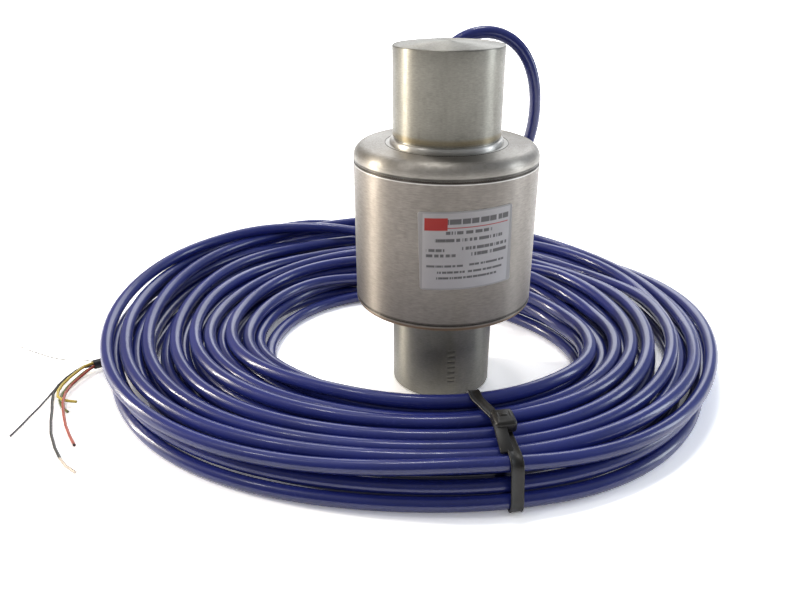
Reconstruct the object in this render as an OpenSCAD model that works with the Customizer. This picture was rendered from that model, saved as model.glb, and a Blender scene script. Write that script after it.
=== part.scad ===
// Column load cell: a one-piece steel measuring column with two domed loading
// ends, sealed in a round housing, and its coiled connection cable.
// The column stands on its lower dome with its axis along +Z. The origin is
// the lowest point of that dome, and the cable leaves the housing towards +Y.

/* [Column] */
// Height over the two domed ends
column_h = 150; // [144:1:165]
// Diameter of the two loading ends
end_d = 44.5; // [40:0.5:47]
// Radius of the domed loading faces
crown_r = 180; // [120:10:400]
// Width of the edge break round each dome
edge_break = 0.6; // [0.3:0.1:1]
// Width across the four gauge flats
gauge_af = 36; // [33:0.5:38]
// Length of the gauge flats along the column
gauge_h = 27; // [25:0.5:29]
// Radius at the ends of the gauge flats
gauge_fillet_r = 3; // [1:0.5:5]
// Diameter of the two weld flanges
flange_d = 50.6; // [49:0.2:53]
// Height of each weld flange
flange_h = 12; // [9:0.5:12.5]
// How far each flange stands proud of its cover
collar_rise = 2.1; // [1:0.1:2.5]

/* [Housing] */
// Outer diameter of the housing tube
housing_d = 77; // [76:0.5:84]
// Wall of the housing tube
housing_wall = 1.5; // [1:0.1:2]
// Length of the housing tube
housing_h = 59.4; // [56:0.2:62]
// Height of the tube's lower end above the floor
housing_lift = 45; // [43:0.5:48]
// Width of the chamfers that form each weld groove
seam_chamfer = 0.4; // [0.2:0.05:0.6]

/* [Covers] */
// Rise of the top cover above the tube
top_cover_h = 6.5; // [6:0.1:8]
// Shoulder radius of the top cover
top_shoulder_r = 5; // [3:0.25:5.5]
// Depth of the bottom cover below the tube
bottom_cover_h = 2.8; // [2.5:0.1:4]
// Shoulder radius of the bottom cover
bottom_shoulder_r = 2; // [1:0.25:2.25]
// Thickness of the covers at the flange
cover_t = 2.2; // [1.8:0.1:2.4]
// Thickness of the flexible ring in each cover
diaphragm_t = 0.9; // [0.6:0.1:1.2]
// Width of the neck by which each cover is welded to its flange
cover_neck_w = 1.6; // [1:0.1:2]
// Length of the spigot that centres each cover in the tube
spigot_h = 3; // [2:0.5:4]
// Wall of that spigot
spigot_wall = 1.4; // [1:0.1:1.8]
// Radial clearance round the spigot
spigot_clear = 0.1; // [0.05:0.05:0.2]

/* [Strain gauges] */
// Width of a gauge's backing
gauge_w = 10; // [8:0.5:12]
// Height of a gauge's backing
gauge_l = 18; // [14:0.5:20]
// Thickness of the backing
gauge_t = 0.2; // [0.1:0.05:0.3]
// Thickness of the grids and solder tabs
foil_t = 0.1; // [0.05:0.05:0.2]
// Diameter of the wires between gauges and board
gauge_wire_d = 0.5; // [0.3:0.05:0.6]

/* [Compensation board] */
// Gap between the ring board and the housing
board_gap = 3; // [2:0.25:5]
// Thickness of the ring board
board_t = 1.6; // [1:0.1:2]
// Clearance between the board and the column
board_clear = 0.3; // [0.2:0.05:0.5]
// Length of a trimming resistor
resistor_l = 6.4; // [5:0.2:7]
// Width of a trimming resistor
resistor_w = 3; // [2:0.2:3.4]
// Height of a trimming resistor
resistor_h = 2.2; // [1.5:0.1:3]
// Diameter of a solder post
post_d = 1.3; // [1.2:0.05:1.5]
// Height of a solder post above the board
post_h = 5; // [4:0.5:6]

/* [Cable gland] */
// Height of the gland's axis above the floor
gland_z = 75; // [72:0.5:78]
// Diameter of the socket welded into the housing
socket_d = 16; // [15:0.5:18]
// Length of that socket
socket_l = 5; // [4.5:0.25:6]
// Height of the socket's face above the housing
socket_rise = 1.5; // [1.2:0.1:2]
// Diameter of the gland body's threaded end
gland_thread_d = 12; // [11:0.25:12.5]
// Radial clearance of that end in the socket
thread_clear = 0.1; // [0.05:0.05:0.15]
// Width across the flats of the gland body
gland_af = 16; // [15:0.5:18]
// Length of the gland body's hexagon
gland_hex_h = 5; // [4:0.5:6]
// Length of the cap nut
cap_h = 11; // [10:0.5:13]
// Gap between the cap nut and the hexagon
cap_gap = 0.5; // [0.3:0.1:1]
// Outer diameter of the sealing grommet
grommet_d = 9.4; // [9:0.1:10]
// Length of the sealing grommet
grommet_l = 7; // [5:0.5:7.5]
// Thickness of the sealing washer
washer_t = 1; // [0.8:0.1:1.5]

/* [Label] */
// Width of the rating label
label_w = 37.4; // [30:0.2:42]
// Height of the rating label
label_h = 32; // [26:0.5:36]
// Thickness of the rating label
label_t = 0.15; // [0.1:0.05:0.25]
// Height of the label's centre above the floor
label_z = 77.5; // [72:0.5:82]
// Direction that the label faces, from +X
label_azimuth = -75.6; // [-120:0.2:-60]
// Turn of the label in its own plane
label_tilt = 2; // [-3:0.5:3]

/* [Cable] */
// Outer diameter of the cable
cable_d = 6; // [5.5:0.1:6.2]
// Diameter of the cable's inner sheath
sheath_d = 4.5; // [4.3:0.1:5]
// Height of the cable coil
coil_h = 23; // [19:0.5:26]
// Radius of the coil's round ends
coil_r = 137; // [130:1:150]
// Length of the straight stretch between those ends
coil_straight = 23; // [10:1:40]
// Radius of the round ends of the hole in the coil
hole_r = 66; // [62:1:70]
// Length of the straight stretch of that hole
hole_straight = 9; // [0:1:14]

/* [Cable tie] */
// Width of the tie's strap
tie_w = 4.8; // [3.6:0.1:6]
// Thickness of the tie's strap
tie_t = 1.2; // [1:0.1:1.6]
// Width of the tie's head
tie_head_w = 7.6; // [6:0.1:8]
// Length of the tie's head
tie_head_l = 8.5; // [7:0.1:10]
// Height of the tie's head
tie_head_h = 5; // [4:0.1:6]

/* [Hidden] */
$fn = 96;
fine = 360;

end_r = end_d / 2;
flange_r = flange_d / 2;
housing_r = housing_d / 2;
bore_r = housing_r - housing_wall;
tube_top_z = housing_lift + housing_h;
top_face_z = tube_top_z + top_cover_h;
bottom_face_z = housing_lift - bottom_cover_h;
lower_flange_z = bottom_face_z - collar_rise;
upper_flange_z = top_face_z + collar_rise - flange_h;
dome_rise = crown_r - sqrt(crown_r * crown_r - end_r * end_r);
gauge_z = (lower_flange_z + upper_flange_z + flange_h) / 2;
flange_chamfer = 0.5;
over = 1;

gauge_tab_x = gauge_af / 2 + gauge_t + foil_t;
gauge_tab_z = gauge_z - gauge_l / 2 + 1.8;
gauge_wire_y = 2.4;
wire_knee_x = end_r + 0.9;
wire_knee_z = gauge_z - gauge_h / 2 + 1;
board_z = lower_flange_z + flange_h;
board_top_z = board_z + board_t;
board_r = bore_r - board_gap;
board_hole_r = end_r + board_clear;
pad_r = end_r + 2;
resistor_ring_r = board_r - resistor_w / 2 - 1.2;
resistor_angles = [205, 225, 245, 295, 315, 335];
post_angles = [78, 86, 94, 102];
post_ring_r = (pad_r + board_r) / 2;

socket_y = housing_r + socket_rise;
washer_y = socket_y + washer_t;
cap_y = washer_y + gland_hex_h + cap_gap;
cap_end_y = cap_y + cap_h;
cable_r = cable_d / 2;
sheath_r = sheath_d / 2;
cable_bore_r = cable_r + 0.4;
gland_neck_r = grommet_d / 2 + 1.3;
gland_neck_end_y = cap_y + 7.5;
grommet_y = gland_neck_end_y - grommet_l + 1;
cap_af = gland_af - 1;
entry_y = bore_r - 4;
entry_sheath_y = entry_y - 2;

coil_centre = [-16, 32];
hole_centre = [-5.5, 11];
coil_top_round = 8;
coil_bottom_round = 4;
hole_lip = 6;
tie_centre = [23.6, -77];
tie_turn = -78;
tie_span = 49;
tie_round = 9;
tie_rise = 0.6;
tie_head_shift = 2;
tail_turn = 220;
tail_end = [-162.2, -1.6, 3.5];
tail_l = 10;
tail_sheath_l = 6;
tail_heading = [cos(tail_turn), sin(tail_turn), 0];

// Centre line of the free stretch of cable, from the gland to the coil
lead_path = [[0, cap_end_y, gland_z], [0, 64, 75.5], [-1, 70, 78], [-3, 75, 82], [-5, 79, 88], [-7, 82, 96],
             [-8, 84, 108], [-8, 84, 118], [-6, 83, 128], [-3, 82, 137], [1, 80.5, 143.5],
             [8, 80, 147], [15, 80, 147.5], [21.5, 80, 146.5], [27.5, 80, 144], [32.5, 80, 140],
             [37.5, 80, 134], [41, 80, 127], [43.5, 80, 118.5], [44.5, 80, 111], [44, 80, 103],
             [43, 80.5, 95], [40, 82, 86], [35, 86, 74], [28, 92, 61], [19, 99, 48], [8, 106, 37],
             [-5, 112, 30], [-13, 114, coil_h]];
// Start of a wire in the end face of the inner sheath, beside and above its centre
function core_start(beside, above) =
    tail_end + tail_sheath_l * tail_heading
    + beside * [-tail_heading[1], tail_heading[0], 0] + [0, 0, above];
// Centre lines of the wires fanned out at the cable's free end
yellow_path = [core_start(0, 1.2), [-169.8, -8, 4.2], [-171.4, -12, 3.8], [-173, -18, 3.4],
               [-173.8, -24, 3], [-173.4, -29, 2.8], [-171.6, -33.4, 2.6], [-168.2, -36, 2.5],
               [-164.4, -37, 2.6], [-161, -37.6, 2.9]];
green_path = [core_start(0, -1.2), [-168.8, -8.8, 2.4], [-170.2, -13, 2], [-171.4, -18.6, 1.6],
              [-172, -24, 1.3], [-171.8, -29.4, 1.1], [-170.6, -34.4, 1], [-167.6, -38.8, 1],
              [-165, -41.6, 1.2], [-162.4, -44, 1.5]];
red_path = [core_start(1.3, 0), [-167, -9.6, 3.4], [-168, -13.4, 3.1], [-169.2, -18.6, 2.8],
            [-170, -24, 2.6], [-169.4, -29.6, 2.7], [-167.4, -34.8, 4.2], [-165.6, -40.6, 4],
            [-162.4, -47.4, 2.8], [-158.4, -54.6, 1.8], [-153.8, -61.2, 1.2], [-148.8, -67.8, 1]];
black_path = [core_start(-1.3, 0), [-170.6, -7.2, 3.7], [-173, -11.6, 3.3], [-174.8, -17.6, 3],
              [-175.8, -24, 2.6], [-175.2, -30.2, 2.2], [-173, -36.4, 1.6], [-170.2, -42.6, 1.2],
              [-167, -50.4, 1], [-162.4, -60, 1], [-156, -70, 1], [-150.4, -77.2, 1],
              [-146, -81.8, 1], [-140.6, -85.4, 1]];
white_path = [core_start(-1.2, -1.25), [-171.4, -6.8, 2.6], [-174.4, -11.4, 2.2], [-176.2, -17.4, 1.8],
              [-177, -24, 1.4], [-177.2, -31, 1], [-177.4, -39, 0.8], [-178, -47, 0.7],
              [-178.4, -55, 0.6], [-179, -62.2, 0.6]];
screen_path = [core_start(-1.05, 1.3), [-171.6, -2.6, 4.4], [-176, -1.2, 3.6], [-181.4, -0.2, 2.8],
               [-187.6, 2, 2], [-193.6, 4.8, 1.4], [-200, 8.2, 1], [-207.2, 12, 0.7],
               [-215.2, 16.4, 0.5]];
core_d = 1.3;
thin_core_d = 0.9;
screen_d = 0.5;

// Rectangle with round corners, centred, as squares and circles so that its arcs stay true
module rounded_rect(w, h, r) {
    square([w - 2 * r, h], center = true);
    square([w, h - 2 * r], center = true);
    for (x = [-1, 1], y = [-1, 1])
        translate([x * (w / 2 - r), y * (h / 2 - r)]) circle(r);
}

// Everything along the gland's axis is drawn along +Z, from the column's axis outwards
module along_gland() translate([0, 0, gland_z]) rotate([-90, 0, 0]) children();

function unit(v) = v / norm(v);
function across(v, t) = unit(v - (v * t) * t);
// Direction of a path at each point; the ends may be given
function headings(path, first, last) = [
    for (i = [0:len(path) - 1])
        i == 0 ? (is_undef(first) ? unit(path[1] - path[0]) : first)
        : i == len(path) - 1 ? (is_undef(last) ? unit(path[i] - path[i - 1]) : last)
        : unit(path[i + 1] - path[i - 1])];
// One side direction at each point, carried along the path without twisting
function sides_along(dirs) = [
    for (i = 0, s = across(abs(dirs[0][2]) > 0.9 ? [1, 0, 0] : [0, 0, 1], dirs[0]);
         i < len(dirs);
         i = i + 1, s = i < len(dirs) ? across(s, dirs[i]) : s) s];

// Closed tube of round section along a path
module tube(path, r, sides = 8, first = undef, last = undef) {
    dirs = headings(path, first, last);
    side = sides_along(dirs);
    n = len(path);
    points = [
        for (i = [0:n - 1], k = [0:sides - 1])
            path[i] + r * (cos(360 * k / sides) * side[i]
                           + sin(360 * k / sides) * cross(dirs[i], side[i]))];
    walls = [
        for (i = [0:n - 2], k = [0:sides - 1])
            let (m = (k + 1) % sides)
            [i * sides + k, (i + 1) * sides + k, (i + 1) * sides + m, i * sides + m]];
    start = [for (k = [0:sides - 1]) k];
    end = [for (k = [0:sides - 1]) n * sides - 1 - k];
    polyhedron(points = points, faces = concat([start], walls, [end]), convexity = 10);
}

// Half section of the turned column, before the gauge flats are milled
module column_section() {
    intersection() {
        union() {
            square([end_r, column_h]);
            for (z = [lower_flange_z, upper_flange_z])
                polygon([[0, z], [flange_r - flange_chamfer, z], [flange_r, z + flange_chamfer],
                         [flange_r, z + flange_h - flange_chamfer],
                         [flange_r - flange_chamfer, z + flange_h], [0, z + flange_h]]);
        }
        translate([0, crown_r]) circle(crown_r, $fn = fine);
        translate([0, column_h - crown_r]) circle(crown_r, $fn = fine);
        polygon([[0, 0], [end_r - edge_break, 0], [end_r - edge_break, dome_rise],
                 [end_r, dome_rise + edge_break], [end_r, lower_flange_z],
                 [flange_r, lower_flange_z], [flange_r, upper_flange_z + flange_h],
                 [end_r, upper_flange_z + flange_h],
                 [end_r, column_h - dome_rise - edge_break],
                 [end_r - edge_break, column_h - dome_rise], [end_r - edge_break, column_h],
                 [0, column_h]]);
    }
}

module column() color("silver")
    difference() {
        rotate_extrude() column_section();
        for (turn = [0:90:270])
            rotate([0, 0, turn])
                translate([gauge_af / 2 + end_r / 2, 0, gauge_z])
                    rotate([90, 0, 0])
                        linear_extrude(height = end_d, center = true)
                            rounded_rect(end_r, gauge_h, gauge_fillet_r);
    }

module housing_tube() color("darkgray")
    difference() {
        rotate_extrude()
            polygon([[bore_r, housing_lift], [housing_r - seam_chamfer, housing_lift],
                     [housing_r, housing_lift + seam_chamfer],
                     [housing_r, tube_top_z - seam_chamfer],
                     [housing_r - seam_chamfer, tube_top_z], [bore_r, tube_top_z]]);
        along_gland() translate([0, 0, bore_r / 2]) cylinder(h = housing_r, d = socket_d);
    }

// Half section of a cover that rises from z = 0 to h, with its spigot below z = 0.
// Inside, a thin flexible ring lies between the neck and the sloped shoulder.
module cover_section(h, shoulder_r) {
    spigot_r = bore_r - spigot_clear;
    cavity_r = spigot_r - spigot_wall;
    neck_r = flange_r + cover_neck_w;
    slope = min(h - cover_t, (cavity_r - neck_r) / 2);
    difference() {
        union() {
            translate([flange_r, 0]) square([housing_r - shoulder_r - flange_r, h]);
            translate([flange_r, seam_chamfer])
                square([housing_r - flange_r, h - shoulder_r - seam_chamfer]);
            polygon([[flange_r, 0], [housing_r - seam_chamfer, 0], [housing_r, seam_chamfer],
                     [flange_r, seam_chamfer]]);
            intersection() {
                translate([housing_r - shoulder_r, h - shoulder_r]) circle(shoulder_r);
                translate([housing_r - shoulder_r, seam_chamfer]) square([shoulder_r, h]);
            }
            translate([cavity_r, -spigot_h]) square([spigot_wall, spigot_h + over / 2]);
        }
        polygon([[flange_r - over, -over], [cavity_r, -over], [cavity_r, h - cover_t - slope],
                 [cavity_r - slope, h - cover_t], [cavity_r - slope, h - diaphragm_t],
                 [neck_r, h - diaphragm_t], [neck_r, h - cover_t], [flange_r - over, h - cover_t]]);
    }
}

module top_cover() color("lightgray")
    translate([0, 0, tube_top_z])
        rotate_extrude() cover_section(top_cover_h, top_shoulder_r);

module bottom_cover() color("lightgray")
    translate([0, 0, housing_lift])
        mirror([0, 0, 1])
            rotate_extrude() cover_section(bottom_cover_h, bottom_shoulder_r);

module rating_label() color("whitesmoke")
    intersection() {
        difference() {
            translate([0, 0, housing_lift]) cylinder(h = housing_h, r = housing_r + label_t);
            translate([0, 0, housing_lift - over])
                cylinder(h = housing_h + 2 * over, r = housing_r);
        }
        rotate([0, 0, label_azimuth])
            translate([0, 0, label_z])
                rotate([0, 90, 0])
                    rotate([0, 0, 90 + label_tilt])
                        linear_extrude(height = housing_d) rounded_rect(label_w, label_h, 1);
    }

// Foil gauge bonded to one flat: a backing, one grid along the column, one grid
// across it and three solder tabs
module strain_gauge(turn) color("peru")
    rotate([0, 0, turn])
        translate([gauge_af / 2, 0, gauge_z]) {
            translate([0, -gauge_w / 2, -gauge_l / 2]) cube([gauge_t, gauge_w, gauge_l]);
            for (y = [-1.5, -0.5, 0.5, 1.5])
                translate([gauge_t, y - 0.3, gauge_l / 2 - 7.5]) cube([foil_t, 0.6, 6]);
            for (z = [-2.6, -1.6, -0.6, 0.4])
                translate([gauge_t, -3, z]) cube([foil_t, 6, 0.6]);
            for (y = [-gauge_wire_y, 0, gauge_wire_y])
                translate([gauge_t, y - 0.8, gauge_tab_z - gauge_z - 1])
                    cube([foil_t, 1.6, 2]);
        }

// Two wires from the outer tabs of each gauge, over the edge of the flat and
// down to their pads on the board
module gauge_wires() color("orangered")
    for (turn = [0:90:270], y = [-gauge_wire_y, gauge_wire_y])
        rotate([0, 0, turn])
            tube([[gauge_tab_x, y, gauge_tab_z], [gauge_tab_x + 1, y, gauge_tab_z - 0.2],
                  [wire_knee_x - 0.5, y, wire_knee_z + 1], [wire_knee_x, y, wire_knee_z - 0.5],
                  [pad_r, y, board_top_z + 1], [pad_r, y, board_top_z]],
                 gauge_wire_d / 2, 8, [1, 0, 0], [0, 0, -1]);

module compensation_board() color("darkgreen")
    translate([0, 0, board_z])
        linear_extrude(height = board_t)
            difference() {
                circle(board_r);
                circle(board_hole_r);
            }

module trimming_resistors() color("navy")
    for (a = resistor_angles)
        rotate([0, 0, a])
            translate([resistor_ring_r, 0, board_top_z]) {
                translate([-resistor_w / 2, -resistor_l / 2, 0])
                    cube([resistor_w, resistor_l, resistor_h]);
                for (y = [-1, 1])
                    translate([0, y * (resistor_l / 2 + 0.5), 0.4])
                        cube([resistor_w / 3, 1, 0.8], center = true);
            }

module solder_posts() color("gold")
    for (a = post_angles)
        rotate([0, 0, a])
            translate([post_ring_r, 0, board_top_z]) cylinder(h = post_h, d = post_d, $fn = 32);

module gland_socket() color("silver")
    along_gland()
        translate([0, 0, socket_y - socket_l])
            difference() {
                cylinder(h = socket_l, d = socket_d);
                translate([0, 0, -over])
                    cylinder(h = socket_l + 2 * over, d = gland_thread_d + 2 * thread_clear);
            }

module gland_washer() color("dimgray")
    along_gland()
        translate([0, 0, socket_y])
            difference() {
                cylinder(h = washer_t, d = gland_af - 0.6);
                translate([0, 0, -over])
                    cylinder(h = washer_t + 2 * over, d = gland_thread_d + 2 * thread_clear);
            }

// Turned body: threaded end in the socket, hexagon, and the neck that the cap
// nut screws on, with a seat for the grommet
module gland_body() color("lightsteelblue")
    along_gland()
        difference() {
            union() {
                translate([0, 0, socket_y - socket_l])
                    cylinder(h = socket_l + washer_t, d = gland_thread_d);
                translate([0, 0, washer_y])
                    intersection() {
                        cylinder(h = gland_hex_h, d = gland_af / cos(30), $fn = 6);
                        cylinder(h = gland_hex_h, d1 = gland_af - 0.4,
                                 d2 = gland_af + 2 * gland_hex_h);
                    }
                translate([0, 0, washer_y])
                    cylinder(h = gland_neck_end_y - washer_y, r = gland_neck_r);
            }
            translate([0, 0, socket_y - socket_l - over])
                cylinder(h = housing_r, r = cable_bore_r);
            translate([0, 0, grommet_y]) cylinder(h = housing_r, d = grommet_d);
        }

module gland_grommet() color("black")
    along_gland()
        translate([0, 0, grommet_y])
            difference() {
                cylinder(h = grommet_l, d = grommet_d);
                translate([0, 0, -over]) cylinder(h = grommet_l + 2 * over, r = cable_r);
            }

// Cap nut: chamfered hexagon with a round nose, hollow for the neck and grommet
module gland_cap() color("lightsteelblue")
    along_gland()
        translate([0, 0, cap_y])
            difference() {
                intersection() {
                    cylinder(h = cap_h, d = cap_af / cos(30), $fn = 6);
                    rotate_extrude()
                        difference() {
                            square([cap_af, cap_h]);
                            translate([cable_bore_r + 1.5, cap_h])
                                polygon([[0, 0], [cap_af, 0], [cap_af, -cap_af * 0.7]]);
                        }
                }
                translate([0, 0, -over])
                    cylinder(h = grommet_y + grommet_l - cap_y + over,
                             r = gland_neck_r + thread_clear);
                cylinder(h = cap_h + over, r = cable_bore_r);
            }

module cable_entry() color("mediumblue")
    along_gland()
        translate([0, 0, entry_y]) cylinder(h = cap_end_y - entry_y, r = cable_r);

module entry_sheath() color("black")
    along_gland()
        translate([0, 0, entry_sheath_y]) cylinder(h = entry_y - entry_sheath_y, r = sheath_r);

// Four cores from the end of the sheath down to the solder posts
module entry_cores() color("firebrick")
    for (i = [0:3]) {
        start_x = [1.4, 0.5, -0.5, -1.4][i];
        start_z = gland_z + [0.6, -1, -1, 0.6][i];
        post = [post_ring_r * cos(post_angles[i]), post_ring_r * sin(post_angles[i]),
                board_top_z + post_h];
        tube([[start_x, entry_sheath_y, start_z],
              [start_x * 1.3, entry_sheath_y - 1, start_z - 0.3],
              [(start_x + post[0]) / 2, entry_sheath_y - 2, start_z - 2.5],
              [post[0], (entry_sheath_y - 2 + post[1]) / 2, (start_z + post[2]) / 2],
              [post[0], post[1], post[2] + 3], post],
             0.5, 8, [0, -1, 0], [0, 0, -1]);
    }

module cable_lead() color("mediumblue")
    tube(lead_path, cable_r, 10, [0, 1, 0], [0, 0, -1]);

// Half outline of the coil's section, with round shoulders
module coil_section() {
    square([coil_r - coil_top_round, coil_h]);
    square([coil_r - coil_bottom_round, coil_h - coil_top_round]);
    translate([0, coil_bottom_round])
        square([coil_r, coil_h - coil_top_round - coil_bottom_round]);
    translate([coil_r - coil_top_round, coil_h - coil_top_round]) circle(coil_top_round);
    translate([coil_r - coil_bottom_round, coil_bottom_round]) circle(coil_bottom_round);
}

module coil_body()
    translate([coil_centre[0], coil_centre[1], 0]) {
        for (side = [-1, 1])
            translate([side * coil_straight / 2, 0, 0]) rotate_extrude($fn = 128) coil_section();
        rotate([90, 0, 90])
            linear_extrude(height = coil_straight, center = true) {
                coil_section();
                mirror([1, 0]) coil_section();
            }
    }

module coil_hole()
    translate([hole_centre[0], hole_centre[1], 0]) {
        for (side = [-1, 1])
            translate([side * hole_straight / 2, 0, 0]) {
                translate([0, 0, -over]) cylinder(h = coil_h + 2 * over, r = hole_r);
                translate([0, 0, coil_h - hole_lip])
                    cylinder(h = hole_lip + over, r1 = hole_r, r2 = hole_r + hole_lip + over);
            }
        rotate([90, 0, 90])
            linear_extrude(height = hole_straight, center = true)
                polygon([[-hole_r, -over], [hole_r, -over], [hole_r, coil_h - hole_lip],
                         [hole_r + hole_lip + over, coil_h + over],
                         [-hole_r - hole_lip - over, coil_h + over],
                         [-hole_r, coil_h - hole_lip]]);
    }

// Places what belongs to the tie: +X runs outwards along the strap and the band lies
// in the XY plane of its own section
module at_tie()
    translate([tie_centre[0], tie_centre[1], 0])
        rotate([0, 0, tie_turn])
            rotate([90, 0, 0]) children();

// Strap that goes once round the coil, with its lowest side on the floor
module tie_band()
    at_tie()
        linear_extrude(height = tie_w, center = true)
            translate([0, (coil_h + tie_rise) / 2])
                difference() {
                    rounded_rect(tie_span + 2 * tie_rise, coil_h + tie_rise, tie_round);
                    rounded_rect(tie_span + 2 * tie_rise - 2 * tie_t,
                                 coil_h + tie_rise - 2 * tie_t, tie_round - tie_t);
                }

module cable_tail_shape()
    translate(tail_end)
        rotate([0, 0, tail_turn]) rotate([0, -90, 0]) cylinder(h = tail_l, r = cable_r);

module cable_coil() color("mediumblue")
    difference() {
        coil_body();
        coil_hole();
        tie_band();
        cable_tail_shape();
    }

module cable_tail() color("mediumblue") cable_tail_shape();

// The tie is one moulding: the strap and the head that locks it
module cable_tie() color("black") {
    tie_band();
    at_tie()
        translate([tie_head_shift, coil_h + tie_rise + tie_head_h / 2, 0])
            difference() {
                cube([tie_head_l, tie_head_h, tie_head_w], center = true);
                translate([0, tie_head_h / 4, 0])
                    cube([tie_head_l + over, tie_t + 0.4, tie_w + 0.4], center = true);
            }
}

module tail_sheath() color("black")
    translate(tail_end)
        rotate([0, 0, tail_turn]) rotate([0, 90, 0]) cylinder(h = tail_sheath_l, r = sheath_r);

module core_yellow() color("gold") tube(yellow_path, core_d / 2, 8, tail_heading);
module core_green() color("olivedrab") tube(green_path, core_d / 2, 8, tail_heading);
module core_red() color("indianred") tube(red_path, core_d / 2, 8, tail_heading);
module core_black() color("black") tube(black_path, core_d / 2, 8, tail_heading);
module core_white() color("dimgray") tube(white_path, thin_core_d / 2, 8, tail_heading);
module screen_wire() color("gray") tube(screen_path, screen_d / 2, 8, tail_heading);

column();
housing_tube();
top_cover();
bottom_cover();
rating_label();
strain_gauge(270);  // strain_gauge_front
strain_gauge(0);  // strain_gauge_right
strain_gauge(90);  // strain_gauge_rear
strain_gauge(180);  // strain_gauge_left
gauge_wires();
compensation_board();
trimming_resistors();
solder_posts();
gland_socket();
gland_washer();
gland_body();
gland_grommet();
gland_cap();
cable_entry();
entry_sheath();
entry_cores();
cable_lead();
cable_coil();
cable_tail();
cable_tie();
tail_sheath();
core_yellow();
core_green();
core_red();
core_black();
core_white();
screen_wire();
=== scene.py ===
"""Column load cell: camera, coiled cable, tie, column, welds, surface finishes, floor and lamps."""
import math

import bmesh
import bpy
import numpy as np
from mathutils import Matrix, Vector


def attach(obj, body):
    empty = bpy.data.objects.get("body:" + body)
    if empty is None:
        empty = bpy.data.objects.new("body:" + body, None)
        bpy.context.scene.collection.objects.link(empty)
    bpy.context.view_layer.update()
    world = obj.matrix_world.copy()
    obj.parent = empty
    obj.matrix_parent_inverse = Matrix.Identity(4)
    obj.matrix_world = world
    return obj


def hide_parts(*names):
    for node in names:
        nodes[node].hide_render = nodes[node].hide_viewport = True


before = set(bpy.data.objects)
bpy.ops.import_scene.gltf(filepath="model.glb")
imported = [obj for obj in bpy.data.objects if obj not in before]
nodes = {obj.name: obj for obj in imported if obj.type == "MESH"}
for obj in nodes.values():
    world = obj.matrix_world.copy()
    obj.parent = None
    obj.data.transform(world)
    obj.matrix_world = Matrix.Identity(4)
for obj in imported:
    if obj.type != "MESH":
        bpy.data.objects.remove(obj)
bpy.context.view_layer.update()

MM = 0.001


# The camera stands where the photograph was taken from.
def photo_camera():
    data = bpy.data.cameras.new("photo_camera")
    data.sensor_width = 36
    data.lens = 34.468
    data.shift_y = 0.05
    data.clip_start = 0.01
    data.clip_end = 50
    camera = bpy.data.objects.new("photo_camera", data)
    bpy.context.scene.collection.objects.link(camera)
    pitch, turn, roll = 0.475294, 0.0606389, -0.0018381
    tilted = Matrix.Rotation(math.pi / 2 - pitch, 4, "X") @ Matrix.Rotation(roll, 4, "Z")
    stand = Matrix.Translation((0, -0.318403, 0.182641))
    camera.matrix_world = stand @ Matrix.Rotation(turn, 4, "Z") @ tilted
    bpy.context.scene.camera = camera


photo_camera()


# The cable. All lengths of its route are in millimetres until the curve is made.
CABLE_D = 6.0
CABLE_R = CABLE_D / 2
STEPS = 144
WINDING_CENTRE = (-10.75, 21.5)
# Distance of the coil's inner and outer edge from the winding centre: its mean, then how it swells
# with the cosine and sine of the angle, of twice the angle and so on.
COIL_INSIDE = (68.9 + CABLE_R, -0.3, -12.5, 3.3, -6.2, 1.1, -0.8)
COIL_OUTSIDE = (143.9 - CABLE_R, -5.2, 14.0, 3.8, 0.6, -2.1, 0.5, -2.1, 0.2)
COIL_START = 80.0
# The tie's strap passes under the bundle there, and lifts it by its thickness.
TIE_ANGLE = -70.8
TIE_LIFT = 1.3
TIE_LIFT_SPREAD = 9
# The lead follows these points from the gland's nut up, over and down to the coil.
LEAD = [
    (0, 57.5, 75), (0, 64, 75.3), (-1, 70, 77.2), (-2.5, 75.3, 81), (-4.5, 79.6, 86.8), (-6.5, 82.6, 94.4),
    (-8, 84.5, 104), (-8.4, 84.3, 114), (-8, 83.8, 123.4), (-6.2, 83, 131), (-3.2, 81.8, 136.8),
    (1.5, 80.6, 141.4), (8, 80, 145.2), (15, 80, 147.1), (21.8, 80, 147.1), (28.2, 80, 145.2),
    (33.8, 80, 141.6),
    (38.4, 80, 136), (41.6, 80, 128.6), (43.7, 80, 120), (44.4, 80, 111), (44, 80, 103), (43, 80.5, 95),
    (40, 82, 86), (35, 86, 74), (28, 92, 61), (19, 99, 48), (8, 106, 37), (-5, 112, 30),
]
LEAD_STEP = 3.0
LEAD_EASING = 3.2
# The lead joins the coil that many steps after the coil's start.
COIL_ENTRY = 16
TAIL_END = (-162.2, -1.6, 3.5)
TAIL_HEADING = 220.0
TAIL_SWING = 58
TAIL_BEND = 25.0
# Each turn's place across the bundle, from 0 inside to 1 outside, at the left, the front and the right.
# The first turn is the top one, which comes from the gland, and the last lies on the floor.
TURNS = [
    (1.03, 0.93, 1.08), (0.93, 0.79, 0.95), (0.79, 0.59, 0.74), (0.63, 0.43, 0.53), (0.48, 0.24, 0.40),
    (0.39, 0.10, 0.26), (0.25, -0.05, 0.02), (0.15, -0.10, 0.00), (0.33, 0.02, 0.17), (0.49, 0.26, 0.34),
    (0.67, 0.50, 0.56), (0.85, 0.75, 0.80), (0.98, 0.90, 1.02), (0.80, 0.64, 0.86), (0.57, 0.38, 0.59),
    (0.41, 0.14, 0.42), (0.24, -0.10, 0.26), (0.08, -0.34, 0.09), (0.00, -0.22, 0.00), (0.18, 0.02, 0.18),
    (0.38, 0.28, 0.38), (0.58, 0.54, 0.58), (0.78, 0.80, 0.79), (0.97, 1.00, 0.97),
]
# The parts of a turn at which those places hold. The front one holds along a stretch.
TURN_PLACES = (0.278, 0.50, 0.60, 0.79)
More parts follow.
